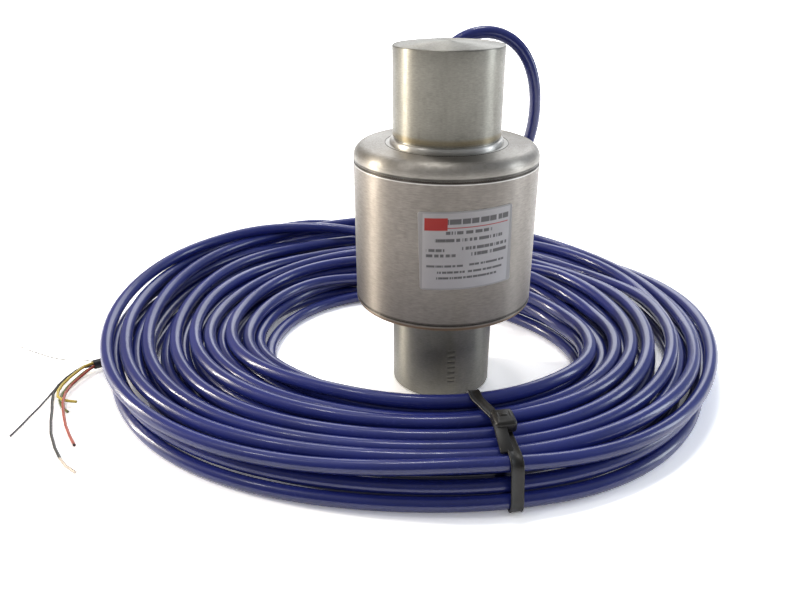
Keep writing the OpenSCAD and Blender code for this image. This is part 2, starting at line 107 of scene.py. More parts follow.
# How far the hand that wound the coil strayed, and how smoothly each turn changes its place.
WANDER = 0.008
TURN_EASING = 3.0
SETTLING = 90


def reach_of(edge, angles):
    """How far an edge of the coil is from the winding centre, along each angle."""
    reach = np.full(len(angles), float(edge[0]))
    for n in range(1, (len(edge) + 1) // 2):
        reach += edge[2 * n - 1] * np.cos(n * angles) + edge[2 * n] * np.sin(n * angles)
    return reach


def eased(at, where, values, level=False):
    """A smooth curve through the values, read at the given places, and level at highs and lows if asked."""
    where, values = np.array(where, float), np.array(values, float)
    slope = np.gradient(values, where)
    if level:
        rise = np.diff(values) / np.diff(where)
        both = rise[:-1] * rise[1:]
        slope[1:-1] = np.where(both > 0, 2 * both / (rise[:-1] + rise[1:] + 1e-12), 0)
    i = np.clip(np.searchsorted(where, at) - 1, 0, len(where) - 2)
    width = where[i + 1] - where[i]
    t = np.clip((at - where[i]) / width, 0, 1)
    return (
        (1 + 2 * t) * (1 - t) ** 2 * values[i] + t * (1 - t) ** 2 * width * slope[i]
        + t * t * (3 - 2 * t) * values[i + 1] - t * t * (1 - t) * width * slope[i + 1]
    )


def smoothed(values, spread):
    """The values without their short wiggles. The two ends stay as they are."""
    half = int(3 * spread)
    weights = np.exp(-(np.arange(-half, half + 1) / spread) ** 2 / 2)
    before, after = 2 * values[0] - values[half:0:-1], 2 * values[-1] - values[-2:-half - 2:-1]
    return np.convolve(np.concatenate([before, values, after]), weights / weights.sum(), mode="valid")


def tail_arc():
    """The bend in which the cable's end turns out of the coil, from its start to the end."""
    turned = np.radians(np.linspace(TAIL_HEADING + TAIL_SWING, TAIL_HEADING, 9))
    heading = math.radians(TAIL_HEADING)
    hub_x = TAIL_END[0] + TAIL_BEND * math.sin(heading)
    hub_y = TAIL_END[1] - TAIL_BEND * math.cos(heading)
    return np.stack([hub_x - TAIL_BEND * np.sin(turned), hub_y + TAIL_BEND * np.cos(turned)], axis=1)


def coil_places():
    """The angle and the distance from the winding centre of every step of the turns."""
    rng = np.random.default_rng(11)
    arc = tail_arc() - np.array(WINDING_CENTRE)
    arc_angle = np.degrees(np.arctan2(arc[:, 1], arc[:, 0])) % 360
    arc_reach = np.hypot(arc[:, 0], arc[:, 1])
    where, across = [0.0], [0.45]
    for k, (left, front, right) in enumerate(TURNS):
        wander = rng.normal(0, WANDER, 3)
        where += [k + place for place in TURN_PLACES]
        across += [left + wander[0], front + wander[1] / 2, front + wander[1] / 2, right + wander[2]]
    count = len(TURNS)
    end = (arc_angle[0] - COIL_START) / 360
    steps = round((count + (arc_angle[-1] - COIL_START) / 360) * STEPS) + 1
    angles = np.radians(COIL_START + 360.0 * np.arange(steps) / STEPS)
    inner, outer = reach_of(COIL_INSIDE, angles), reach_of(COIL_OUTSIDE, angles)
    edges = [reach_of(edge, np.radians(arc_angle[:1]))[0] for edge in (COIL_INSIDE, COIL_OUTSIDE)]
    last = np.interp(arc_reach[0], edges, [0, 1])
    where += [count + 0.08, count + end]
    across += [last, last]
    turns = np.arange(len(angles)) / STEPS
    reach = inner + (outer - inner) * smoothed(eased(turns, where, across, True), TURN_EASING)
    in_arc = turns > count + end
    reach[in_arc] = np.interp(np.degrees(angles[in_arc]) % 360, arc_angle, arc_reach)
    return angles, reach


def rests(height, reach, floor, start, stop):
    """The lowest height at which each step of a stretch clears the floor and the turns below it."""
    rest = floor[start:stop].copy()
    for turn in range(1, len(TURNS) + 1):
        below = np.arange(start, stop) + turn * STEPS
        there = below < len(reach)
        below = np.minimum(below, len(reach) - 1)
        gap = np.abs(reach[start:stop] - reach[below])
        on_top = height[below] + np.sqrt(np.maximum(CABLE_D ** 2 - gap ** 2, 0))
        rest = np.where(there & (gap < CABLE_D), np.maximum(rest, on_top), rest)
    return rest


def coil_heights(angles, reach):
    """Lays the turns down from the last to the first. The stiff cable bridges the dips between supports."""
    count = len(reach)
    near_tie = (np.degrees(angles) - TIE_ANGLE + 180) % 360 - 180
    floor = CABLE_R + TIE_LIFT * np.exp(-(near_tie / TIE_LIFT_SPREAD) ** 2)
    height = floor.copy()
    for again in (False, True):
        start = count
        while start > 0:
            start, stop = max(0, start - STEPS // 2), start
            rest = rests(height, reach, floor, start, stop)
            after = height[stop] if stop < count else rest[-1]
            now = np.maximum(rest, height[start:stop]) if again else rest.copy()
            for _ in range(SETTLING):
                before = height[start - 1] if again and start > 0 else now[0]
                line = np.concatenate([[before], now, [after]])
                now = np.maximum(rest, (line[:-2] + 2 * line[1:-1] + line[2:]) / 4)
            height[start:stop] = now
    return smoothed(height, 1.5)


def cable_points():
    """The whole cable's centreline, from the gland's nut to its bare end."""
    angles, reach = coil_places()
    height = coil_heights(angles, reach)
    coil = np.stack([
        WINDING_CENTRE[0] + reach * np.cos(angles), WINDING_CENTRE[1] + reach * np.sin(angles), height,
    ], axis=1)
    run = np.array(LEAD + [tuple(p) for p in coil[COIL_ENTRY:COIL_ENTRY + 12:4]], float)
    along = np.concatenate([[0], np.cumsum(np.linalg.norm(np.diff(run, axis=0), axis=1))])
    fine = np.arange(0, along[len(LEAD)], LEAD_STEP)
    lead = np.stack([smoothed(eased(fine, along, run[:, i]), LEAD_EASING) for i in range(3)], axis=1)
    arc = tail_arc()
    tail = np.column_stack([arc, np.linspace(coil[-4][2], TAIL_END[2], len(arc))])
    return np.concatenate([lead, coil[COIL_ENTRY:-5], tail[2:]]), coil



def strand(name, points, radius, sides=3):
    """A round cable or wire along the points, which are in millimetres."""
    data = bpy.data.curves.new(name, "CURVE")
    data.dimensions = "3D"
    data.bevel_depth = radius * MM
    data.bevel_resolution = sides
    data.use_fill_caps = True
    line = data.splines.new("POLY")
    line.points.add(len(points) - 1)
    places = np.column_stack([points * MM, np.ones(len(points))])
    line.points.foreach_set("co", places.astype(np.float32).ravel())
    line.use_smooth = True
    piece = bpy.data.objects.new(name, data)
    bpy.context.scene.collection.objects.link(piece)
    return piece


route, coil_route = cable_points()
cable = strand("coiled_cable", route, CABLE_R)


# Mesh helpers
def piece_of(name, form, smooth=35):
    """Makes an object of the bmesh, with smooth faces and sharp edges."""
    data = bpy.data.meshes.new(name)
    form.to_mesh(data)
    form.free()
    data.validate()
    data.shade_smooth()
    data.set_sharp_from_angle(angle=math.radians(smooth))
    piece = bpy.data.objects.new(name, data)
    bpy.context.scene.collection.objects.link(piece)
    return piece


# The cable tie goes round the bundle just as the turns lie there.
STRAP_W, STRAP_T = 4.8, 1.2
STRAP_RIM, STRAP_BREAK = 0.5, 0.25
TIE_CENTRE = (23.6, -77.0)
TIE_TURN = math.radians(-78)
# How far the inner run of the strap slants aside, and how far out the head sits.
STRAP_SLANT = 5.5
TIE_HEAD_OUT = 1.0


def bundle_section():
    """Each turn's place under the tie: its distance outwards from the tie's centre, and its height."""
    middle = math.hypot(TIE_CENTRE[0] - WINDING_CENTRE[0], TIE_CENTRE[1] - WINDING_CENTRE[1])
    away = coil_route[:, :2] - np.array(WINDING_CENTRE)
    turned = (np.degrees(np.arctan2(away[:, 1], away[:, 0])) - TIE_ANGLE + 180) % 360 - 180
    crossing = np.abs(turned) < 180 / STEPS
    out = np.hypot(away[crossing, 0], away[crossing, 1]) - middle
    return np.column_stack([out, coil_route[crossing, 2]])


def strap_loop(clear):
    """The closed line that is pulled tight round the bundle, with that much clearance."""
    round_angles = np.linspace(0, 2 * math.pi, 48, endpoint=False)
    ring = np.column_stack([np.cos(round_angles), np.sin(round_angles)]) * (CABLE_R + clear)
    cloud = (bundle_section()[:, None, :] + ring[None]).reshape(-1, 2)
    hull = []
    start = cloud[:, 0].argmax()
    point = start
    while True:
        hull.append(cloud[point])
        best = (point + 1) % len(cloud)
        for i in range(len(cloud)):
            a, b = cloud[best] - cloud[point], cloud[i] - cloud[point]
            if a[0] * b[1] - a[1] * b[0] < -1e-9:
                best = i
        point = best
        if point == start or len(hull) > 400:
            break
    hull = np.array(hull + [hull[0]])
    along = np.concatenate([[0], np.cumsum(np.linalg.norm(np.diff(hull, axis=0), axis=1))])
    at = np.linspace(0, along[-1], 121)[:-1]
    loop = np.stack([np.interp(at, along, hull[:, i]) for i in range(2)], axis=1)
    for _ in range(2):
        loop = (np.roll(loop, 1, 0) + 2 * loop + np.roll(loop, -1, 0)) / 4
    return loop


def tie_place(out, height, side):
    """A point of the tie in the frame: outwards along the strap, up, and to the strap's side."""
    return Vector((
        (TIE_CENTRE[0] + out * math.cos(TIE_TURN) - side * math.sin(TIE_TURN)) * MM,
        (TIE_CENTRE[1] + out * math.sin(TIE_TURN) + side * math.cos(TIE_TURN)) * MM,
        height * MM,
    ))


def strap_lean(out, height):
    """How far aside the strap lies: over the bundle it slants from the head inwards, and then comes back."""
    if height > 9:
        return -STRAP_SLANT * min(1.0, max(0.0, (TIE_HEAD_OUT - 3 - out) / 16))
    return -STRAP_SLANT * max(0.0, height - 4) / 5 * (out < 0)


def strap_profile():
    """The strap's section: across it and outwards from the bundle, with a raised rim along both edges."""
    half, rim, soft = STRAP_W / 2, STRAP_RIM, STRAP_BREAK
    right = [
        (half - soft, 0), (half, soft), (half, STRAP_T - 0.2), (half - 0.2, STRAP_T), (half - rim, STRAP_T),
        (half - rim - soft, STRAP_T - soft),
    ]
    return right + [(-side, proud) for side, proud in reversed(right)]


def cable_tie():
    form = bmesh.new()
    loop = np.maximum(strap_loop(0.15), [-1e3, 0.05])
    ahead, behind = np.roll(loop, -1, 0), np.roll(loop, 1, 0)
    run = ahead - behind
    run /= np.linalg.norm(run, axis=1)[:, None]
    outward = np.column_stack([run[:, 1], -run[:, 0]])
    if (outward * (loop - loop.mean(0))).sum() < 0:
        outward = -outward
    profile = strap_profile()
    rings = []
    for place, away in zip(loop, outward):
        lean = strap_lean(float(place[0]), float(place[1]))
        ring = []
        for side, proud in profile:
            thick = proud * (0.12 if place[1] < 1.3 else 1.0)
            spot = place + away * thick
            ring.append(form.verts.new(tie_place(spot[0], max(spot[1], 0.02), side + lean)))
        rings.append(ring)
    count = len(profile)
    for i, ring in enumerate(rings):
        following = rings[(i + 1) % len(rings)]
        for j in range(count):
            form.faces.new([ring[j], ring[(j + 1) % count], following[(j + 1) % count], following[j]])
    bmesh.ops.recalc_face_normals(form, faces=form.faces)
    return piece_of("cable_tie_strap", form, 50), loop


tie_strap, tie_loop = cable_tie()


def rounded_block(form, size, place, bevel, steps=3):
    """Adds a block with rounded edges. Size and place are in metres."""
    earlier = set(form.verts)
    made = bmesh.ops.create_cube(form, size=1)
    for corner in made["verts"]:
        corner.co = Vector(corner.co[i] * size[i] for i in range(3))
    edges = list({e for v in made["verts"] for e in v.link_edges})
    bmesh.ops.bevel(form, geom=edges, offset=bevel, segments=steps, profile=0.5, affect="EDGES")
    fresh = [v for v in form.verts if v not in earlier]
    bmesh.ops.transform(form, matrix=place, verts=fresh)


# The head's parts, each with its size, place and tip in the head's own frame, and its rounding: the
# housing, two bars of its raised rim, the strap's cut end and the tongue.
HEAD_PARTS = (
    ((9.5, 8.4, 5.2), (0, 0, 0), 0.0, 1.5, 3),
    ((5.6, 1.1, 1.0), (0.2, -2.4, 2.2), 0.0, 0.35, 2),
    ((5.6, 1.1, 1.0), (0.2, 2.4, 2.2), 0.0, 0.35, 2),
    ((13.0, 4.8, 1.3), (8.5, -2.4, -1.0), 0.30, 0.4, 2),
    ((2.6, 2.6, 0.8), (-1.2, 0, 2.3), -0.25, 0.25, 2),
)
HEAD_STANDS = 2.0


def tie_head():
    """The locking head, standing on the strap and tipped as the strap is there."""
    seat = float(tie_loop[np.abs(tie_loop[:, 0] - TIE_HEAD_OUT) < 2.0][:, 1].max())
    upper = tie_loop[tie_loop[:, 1] > 12]
    low = upper[np.abs(upper[:, 0] - TIE_HEAD_OUT + 4).argmin()]
    high = upper[np.abs(upper[:, 0] - TIE_HEAD_OUT - 4).argmin()]
    slope = math.atan2(high[1] - low[1], high[0] - low[0])
    centre = Matrix.Translation(tie_place(TIE_HEAD_OUT, seat + STRAP_T + HEAD_STANDS, 0))
    head_frame = centre @ Matrix.Rotation(TIE_TURN, 4, "Z") @ Matrix.Rotation(-slope, 4, "Y")
    form = bmesh.new()
    for size, place, tip, rounding, steps in HEAD_PARTS:
        stand = head_frame @ Matrix.Translation(Vector(place) * MM) @ Matrix.Rotation(tip, 4, "Y")
        rounded_block(form, [length * MM for length in size], stand, rounding * MM, steps)
    return piece_of("cable_tie_head", form, 40)


tie_head_piece = tie_head()


# The column: two domed ends, two collars on the weld flanges, and four flats for the strain gauges.
END_R, COLLAR_R, FLANGE_R, CROWN_R = 22.25, 23.4, 25.3, 180.0
COLUMN_H, LOWER_END, UPPER_END, COLLAR_H = 150.0, 40.1, 37.0, 2.1
EDGE_BREAK = 0.6
LOWER_FLANGE_TOP, UPPER_FLANGE_FOOT = 52.1, 101.0
FLAT_AWAY, FLAT_HALF_LENGTH, FLAT_FILLET = 18.0, 13.5, 3.0
GAUGE_Z = 76.55
# Punched strokes on the lower end: where they are round the column, and their heights.
MARK_AT, MARK_HALF_WIDTH, MARK_HALF_HEIGHT, MARK_DEPTH = 282.0, 1.7, 0.55, 0.22
MARKED_LOW, MARKED_HIGH = 8.5, 26.0
MARK_HEIGHTS = (24.6, 22.0, 19.4, 16.8, 14.2, 11.6, 9.8)


def end_profile(length, heights):
    """Radius and distance from the crown along one end, from its axis to its flange's face."""
    across = np.linspace(0, END_R - EDGE_BREAK, 14)
    dome = [(r, CROWN_R - math.sqrt(CROWN_R ** 2 - r * r)) for r in across]
    rim = dome[-1][1] + EDGE_BREAK
    rounding = [
        (END_R - EDGE_BREAK * (1 - math.sin(lean)), rim - EDGE_BREAK * math.cos(lean))
        for lean in np.radians((30, 60, 90))
    ]
    side = [(END_R, z) for z in heights]
    groove_r = END_R - 0.55
    groove = [(END_R, length - 1.15), (groove_r, length - 0.95), (groove_r, length)]
    collar = [
        (COLLAR_R - 0.9, length), (COLLAR_R - 0.45, length + 0.2), (COLLAR_R - 0.12, length + 0.6),
        (COLLAR_R, length + 1.2), (COLLAR_R, length + COLLAR_H), (FLANGE_R, length + COLLAR_H),
    ]
    return dome + rounding + side + groove + collar


def mark_at(turn, height):
    """How deep the punched strokes are at that turn, in degrees, and height of the lower end."""
    aside = abs(math.radians(turn - MARK_AT) * END_R)
    near = min(abs(height - mark) for mark in MARK_HEIGHTS)
    wide = min(1, max(0, (MARK_HALF_WIDTH - aside) / 0.2))
    high = min(1, max(0, (MARK_HALF_HEIGHT - near) / 0.25))
    return MARK_DEPTH * wide * high


def column_rings():
    """Every ring from the floor up: its radius, its height, and its flats' distance from the axis, if any."""
    marked = np.arange(MARKED_LOW, MARKED_HIGH, 0.25)
    lower = [(r, z, None) for r, z in end_profile(LOWER_END, marked)]
    upper = [(r, COLUMN_H - z, None) for r, z in reversed(end_profile(UPPER_END, (MARKED_LOW, MARKED_HIGH)))]
    fillet = [
        (FLAT_HALF_LENGTH - FLAT_FILLET * (1 - math.cos(t)), FLAT_AWAY + FLAT_FILLET * (1 - math.sin(t)))
        for t in np.radians((0, 22.5, 45, 67.5, 90))
    ]
    below = [(END_R, GAUGE_Z - half, away) for half, away in fillet]
    above = [(END_R, GAUGE_Z + half, away) for half, away in reversed(fillet)]
    return [
        *lower,
        (FLANGE_R, LOWER_FLANGE_TOP, None),
        (END_R, LOWER_FLANGE_TOP, None),
        (END_R, below[0][1], None),
        *below,
        *above,
        (END_R, above[-1][1], None),
        (END_R, UPPER_FLANGE_FOOT, None),
        (FLANGE_R, UPPER_FLANGE_FOOT, None),
        *upper,
    ]


def column():
    form = bmesh.new()
    turns = sorted(set(np.arange(0, 360, 1.5)) | set(np.arange(MARK_AT - 6, MARK_AT + 6, 0.3)))
    rings = []
    for radius, height, away in column_rings():
        ring = []
        for turn in turns:
            x, y = math.cos(math.radians(turn)), math.sin(math.radians(turn))
            out = radius if away is None else min(radius, away / max(abs(x), abs(y)))
            if radius == END_R and MARKED_LOW < height < MARKED_HIGH:
                out -= mark_at(turn, height)
            ring.append(form.verts.new((out * x * MM, out * y * MM, height * MM)))
        rings.append(ring)
    count = len(turns)
    for ring, following in zip(rings, rings[1:]):
        for j in range(count):
            form.faces.new([ring[j], ring[(j + 1) % count], following[(j + 1) % count], following[j]])
    bmesh.ops.remove_doubles(form, verts=form.verts, dist=1e-7)
    bmesh.ops.recalc_face_normals(form, faces=form.faces)
    return piece_of("loading_column", form, 32)


column_piece = column()


# Welds: a thin bead with even ripples runs round each seam.
def weld_bead(name, radius, height, thick, ripples):
    form = bmesh.new()
    rings = []
    for i in range(ripples * 3):
        turn = 2 * math.pi * i / (ripples * 3)
        swell = thick * (1 + 0.16 * math.cos(ripples * turn))
        ring = []
        for j in range(8):
            lean = 2 * math.pi * j / 8
            out = radius + swell * math.cos(lean) * 0.6
            ring.append(form.verts.new((
                out * math.cos(turn) * MM, out * math.sin(turn) * MM, (height + swell * math.sin(lean)) * MM,
            )))
        rings.append(ring)
    for i, ring in enumerate(rings):
        following = rings[(i + 1) % len(rings)]
        for j in range(8):
            form.faces.new([ring[j], ring[(j + 1) % 8], following[(j + 1) % 8], following[j]])
    bmesh.ops.recalc_face_normals(form, faces=form.faces)
    return piece_of(name, form, 60)


top_weld = weld_bead("top_seam_weld", 38.05, 104.4, 0.36, 260)
bottom_weld = weld_bead("bottom_seam_weld", 38.05, 45.0, 0.42, 260)
collar_weld = weld_bead("collar_weld", 25.3, 110.85, 0.2, 170)


# Node helpers
def add(tree, kind, links=None, **settings):
    """Adds a node. Settings are attributes. Links are sockets, each with a value or another's output."""
    node = tree.nodes.new("ShaderNode" + kind)
    for key, value in settings.items():
        setattr(node, key, value)
    for key, value in (links or {}).items():
        socket = node.inputs[key]
        if isinstance(value, bpy.types.NodeSocket):
            tree.links.new(value, socket)
        else:
            socket.default_value = value
    return node


def group(name, inputs, outputs):
    """A new node group with those inputs, each with its type and default, and those outputs."""
    tree = bpy.data.node_groups.new(name, "ShaderNodeTree")
    for title, (kind, default) in inputs.items():
        socket = tree.interface.new_socket(title, in_out="INPUT", socket_type="NodeSocket" + kind)
        if default is not None:
            socket.default_value = default
    for title, kind in outputs.items():
        tree.interface.new_socket(title, in_out="OUTPUT", socket_type="NodeSocket" + kind)
    return tree, tree.nodes.new("NodeGroupInput").outputs, tree.nodes.new("NodeGroupOutput").inputs


def use(tree, made, **values):
    """Places a group, with its own values. An underscore in a name stands for a space."""
    node = tree.nodes.new("ShaderNodeGroup")
    node.node_tree = made
    for key, value in values.items():
        socket = node.inputs[key.replace("_", " ")]
        if isinstance(value, bpy.types.NodeSocket):
            tree.links.new(value, socket)
        else:
            socket.default_value = value
    return node.outputs


def sum_of(tree, operation, *terms):
    """A Math node of the terms."""
    return add(tree, "Math", dict(enumerate(terms)), operation=operation).outputs[0]


def turned_lines():
    """Fine tool lines round the column's axis, as a lathe or a polishing belt leaves them."""
    tree, given, gives = group("turned lines", {
        "Position": ("Vector", None),
        "Lines per metre": ("Float", 2500.0),
        "Streak length": ("Float", 14.0),
    }, {"Lines": "Float", "Bands": "Float"})
    place = add(tree, "SeparateXYZ", {0: given["Position"]}).outputs
    turn = sum_of(tree, "ARCTAN2", place[1], place[0])
    squares = [sum_of(tree, "MULTIPLY", place[i], place[i]) for i in range(2)]
    out = sum_of(tree, "SQRT", sum_of(tree, "ADD", *squares))
    across = sum_of(tree, "MULTIPLY", sum_of(tree, "ADD", place[2], out), given["Lines per metre"])
    along = sum_of(tree, "MULTIPLY", sum_of(tree, "COSINE", turn), given["Streak length"])
    around = sum_of(tree, "MULTIPLY", sum_of(tree, "SINE", turn), given["Streak length"])
    where = add(tree, "CombineXYZ", {0: along, 1: around, 2: across}).outputs[0]
    lines = add(tree, "TexNoise", {"Vector": where, "Scale": 1.0, "Detail": 3.0, "Roughness": 0.6})
    slow = sum_of(tree, "MULTIPLY", across, 0.06)
    broad = add(tree, "CombineXYZ", {0: along, 1: around, 2: slow}).outputs[0]
    bands = add(tree, "TexNoise", {"Vector": broad, "Scale": 1.0, "Detail": 2.0})
    tree.links.new(lines.outputs["Fac"], gives["Lines"])
    tree.links.new(bands.outputs["Fac"], gives["Bands"])
    return tree


def mottle():
    """Soft uneven patches, as handling and storage leave them."""
    tree, given, gives = group("handling mottle", {
        "Position": ("Vector", None),
        "Patches per metre": ("Float", 60.0),
        "Contrast": ("Float", 1.0),
    }, {"Patches": "Float", "Specks": "Float"})
    broad = add(tree, "TexNoise", {
        "Vector": given["Position"], "Scale": given["Patches per metre"], "Detail": 5.0, "Roughness": 0.6,
    })
    centred = sum_of(tree, "SUBTRACT", broad.outputs["Fac"], 0.5)
    stretch = {0: centred, 1: given["Contrast"], 2: 0.5}
    patches = add(tree, "Math", stretch, operation="MULTIPLY_ADD", use_clamp=True)
    fine_scale = sum_of(tree, "MULTIPLY", given["Patches per metre"], 18.0)
    fine = add(tree, "TexNoise", {"Vector": given["Position"], "Scale": fine_scale, "Detail": 2.0})
    specks = add(tree, "MapRange", {"Value": fine.outputs["Fac"], "From Min": 0.62, "From Max": 0.74})
    tree.links.new(patches.outputs[0], gives["Patches"])
    tree.links.new(specks.outputs[0], gives["Specks"])
    return tree


def height_band():
    """A soft band at one height, such as the heat colour beside a weld, or a painted highlight on a rounded
    edge.
    """
    tree, given, gives = group("height band", {
        "Position": ("Vector", None),
        "Height": ("Float", 0.1),
        "Half width": ("Float", 0.001),
        "Softness": ("Float", 0.001),
    }, {"Band": "Float"})
    place = add(tree, "SeparateXYZ", {0: given["Position"]}).outputs
    away = sum_of(tree, "ABSOLUTE", sum_of(tree, "SUBTRACT", place[2], given["Height"]))
    past = sum_of(tree, "SUBTRACT", away, given["Half width"])
    share = sum_of(tree, "DIVIDE", past, given["Softness"])
    band = add(tree, "Math", {0: 1.0, 1: share}, operation="SUBTRACT", use_clamp=True)
    tree.links.new(band.outputs[0], gives["Band"])
    return tree


TURNED, MOTTLE, BAND = turned_lines(), mottle(), height_band()


def finish(name, colour, roughness, metallic=0.0, **plain):
    """A new material with its Principled node, and the position on the part for its patterns."""
    material = bpy.data.materials.new(name)
    material.use_nodes = True
    tree = material.node_tree
    skin = tree.nodes["Principled BSDF"]
    skin.inputs["Base Color"].default_value = (*colour, 1)
    skin.inputs["Roughness"].default_value = roughness
    skin.inputs["Metallic"].default_value = metallic
    for key, value in plain.items():
        skin.inputs[key.replace("_", " ")].default_value = value
    position = add(tree, "TexCoord").outputs["Object"]
    return material, tree, skin, position


def mixed(tree, mask, first, second):
    """A colour between two, by the mask. Each is a colour or another node's output."""
    made = add(tree, "Mix", data_type="RGBA")
    for socket, value in ((made.inputs[0], mask), (made.inputs[6], first), (made.inputs[7], second)):
        if isinstance(value, bpy.types.NodeSocket):
            tree.links.new(value, socket)
        else:
            socket.default_value = (*value, 1) if isinstance(value, tuple) else value
    return made.outputs[2]


def ranged(tree, value, low, high, start=0.0, stop=1.0):
    """The value, spread from between start and stop to between low and high."""
    links = {"Value": value, "From Min": start, "From Max": stop, "To Min": low, "To Max": high}
    return add(tree, "MapRange", links).outputs[0]


def bumped(tree, skin, height, strength, distance):
    """Gives the surface a fine relief."""
    normal = add(tree, "Bump", {"Height": height, "Strength": strength, "Distance": distance}).outputs[0]
    tree.links.new(normal, skin.inputs["Normal"])


def steel(name, light, dark, rough, lines, bump, bands=()):
    """Turned stainless steel: tool lines, soft patches, and bands at the given heights: heat colours, dark
    seams and painted highlights.
    """
    material, tree, skin, position = finish(name, light, rough, 1.0)
    skin.inputs["Anisotropic"].default_value = 0.8
    skin.inputs["Anisotropic Rotation"].default_value = 0.25
    tool = use(tree, TURNED, Position=position, Lines_per_metre=lines)
    patch = use(tree, MOTTLE, Position=position, Patches_per_metre=45.0, Contrast=1.6)
    tone = mixed(tree, sum_of(tree, "MULTIPLY", patch["Patches"], tool["Bands"]), light, dark)
    deep = tuple(c * 0.62 for c in dark)
    tone = mixed(tree, ranged(tree, tool["Lines"], 0.0, 0.25, 0.35, 0.7), tone, deep)
    gloss = ranged(tree, tool["Lines"], rough - 0.05, rough + 0.11, 0.3, 0.7)
    gloss = add(tree, "Math", {0: patch["Patches"], 1: 0.08, 2: gloss}, operation="MULTIPLY_ADD").outputs[0]
    for height, half, soft, band_colour, share in bands:
        band = use(tree, BAND, Position=position, Height=height, Half_width=half, Softness=soft)["Band"]
        broken = sum_of(tree, "MULTIPLY", band, ranged(tree, patch["Patches"], share * 0.7, share))
        tone = mixed(tree, broken, tone, band_colour)
    tree.links.new(tone, skin.inputs["Base Color"])
    tree.links.new(gloss, skin.inputs["Roughness"])
    bumped(tree, skin, tool["Lines"], bump, 0.00004)
    return material


OLIVE, BRONZE = (0.20, 0.16, 0.09), (0.22, 0.13, 0.06)
# The pale band colour is a painted highlight, the light that rounded edges catch.
SOOT, PAINTED_HIGHLIGHT = (0.02, 0.018, 0.016), (0.85, 0.83, 0.80)
# Each band of colour: its height, half its width, its soft edge, its colour and its strength. Olive and
# bronze are heat colours, soot darkens the seams, and the pale bands are painted highlights.
column_steel = steel("column_steel", (0.27, 0.26, 0.23), (0.18, 0.172, 0.15), 0.38, 3200.0, 0.22, (
    # The pale band round the collar is a painted highlight.
    (0.1120, 0.0010, 0.0002, PAINTED_HIGHLIGHT, 0.7),
    (0.1148, 0.0006, 0.0012, OLIVE, 0.8), (0.0385, 0.0006, 0.0016, OLIVE, 0.6),
))
cover_steel = steel("cover_steel", (0.36, 0.34, 0.31), (0.26, 0.24, 0.215), 0.40, 2600.0, 0.25, (
    (0.1051, 0.0003, 0.0003, SOOT, 0.9), (0.0450, 0.0003, 0.0003, SOOT, 0.85),
    (0.0432, 0.0005, 0.0010, BRONZE, 0.9),
))
housing_steel = steel("housing_steel", (0.275, 0.25, 0.225), (0.19, 0.17, 0.153), 0.40, 2200.0, 0.18, (
    # The pale line just under the seam is a painted highlight.
    (0.1039, 0.0002, 0.0003, SOOT, 0.9), (0.1034, 0.0001, 0.0002, PAINTED_HIGHLIGHT, 0.6),
    (0.0454, 0.0003, 0.0003, SOOT, 0.7),
))
weld_steel = steel("weld_steel", (0.08, 0.07, 0.06), (0.03, 0.026, 0.023), 0.38, 5000.0, 0.3)
gland_nickel = steel("gland_nickel", (0.55, 0.53, 0.50), (0.44, 0.42, 0.39), 0.30, 4000.0, 0.1)


def glossy_plastic(name, colour, shade, rough, coat, patches, relief=0.12):
    """Smooth moulded or extruded plastic, a little uneven and dusty."""
    material, tree, skin, position = finish(name, colour, rough, 0.0, Coat_Weight=coat, Coat_Roughness=0.06)
    patch = use(tree, MOTTLE, Position=position, Patches_per_metre=patches, Contrast=1.5)
    tone = mixed(tree, patch["Patches"], colour, shade)
    dust = tuple(min(1.0, c * 1.6 + 0.05) for c in colour)
    tone = mixed(tree, ranged(tree, patch["Specks"], 0.0, 0.18), tone, dust)
    tree.links.new(tone, skin.inputs["Base Color"])
    tree.links.new(ranged(tree, patch["Patches"], rough - 0.04, rough + 0.08), skin.inputs["Roughness"])
    bumped(tree, skin, patch["Patches"], relief, 0.0004)
    return material


cable_jacket = glossy_plastic(
    "cable_jacket", (0.024, 0.036, 0.25), (0.014, 0.022, 0.155), 0.29, 0.3, 40.0, 0.14,
)
tie_nylon = glossy_plastic("tie_nylon", (0.012, 0.010, 0.008), (0.006, 0.0055, 0.005), 0.42, 0.0, 160.0, 0.15)
inner_sheath = glossy_plastic(
    "inner_sheath", (0.03, 0.03, 0.028), (0.018, 0.018, 0.017), 0.45, 0.0, 300.0, 0.2,
)
seal_rubber = glossy_plastic("seal_rubber", (0.028, 0.028, 0.028), (0.02, 0.02, 0.02), 0.55, 0.0, 300.0, 0.2)
inner_wire = glossy_plastic("inner_wire", (0.55, 0.12, 0.08), (0.42, 0.08, 0.05), 0.35, 0.1, 300.0)
gauge_foil = glossy_plastic("gauge_foil", (0.72, 0.50, 0.25), (0.55, 0.36, 0.16), 0.4, 0.1, 300.0)
board_laminate = glossy_plastic("board_laminate", (0.05, 0.25, 0.12), (0.03, 0.18, 0.08), 0.42, 0.2, 200.0)
resistor_body = glossy_plastic("resistor_body", (0.05, 0.06, 0.08), (0.03, 0.035, 0.05), 0.4, 0.1, 400.0)
post_brass = steel("post_brass", (0.75, 0.60, 0.28), (0.6, 0.46, 0.2), 0.25, 4000.0, 0.1)


def wire_finish(name, colour, shade, tip=None, tip_colour=None, beyond=0.0):
    """A thin insulated wire. Past its tip's plane it is stripped or of another colour."""
    material, tree, skin, position = finish(name, colour, 0.34, 0.0, Coat_Weight=0.15)
    patch = use(tree, MOTTLE, Position=position, Patches_per_metre=220.0, Contrast=1.8)
    tone = mixed(tree, patch["Patches"], colour, shade)
    if tip is not None:
        reach = add(tree, "VectorMath", {0: position, 1: tip}, operation="DOT_PRODUCT").outputs["Value"]
        mask = ranged(tree, reach, 0.0, 1.0, beyond - 0.0004, beyond + 0.0004)
        tone = mixed(tree, mask, tone, tip_colour)
        tree.links.new(sum_of(tree, "MULTIPLY", mask, 0.9), skin.inputs["Metallic"])
    tree.links.new(tone, skin.inputs["Base Color"])
    bumped(tree, skin, patch["Specks"], 0.1, 0.0001)
    return material


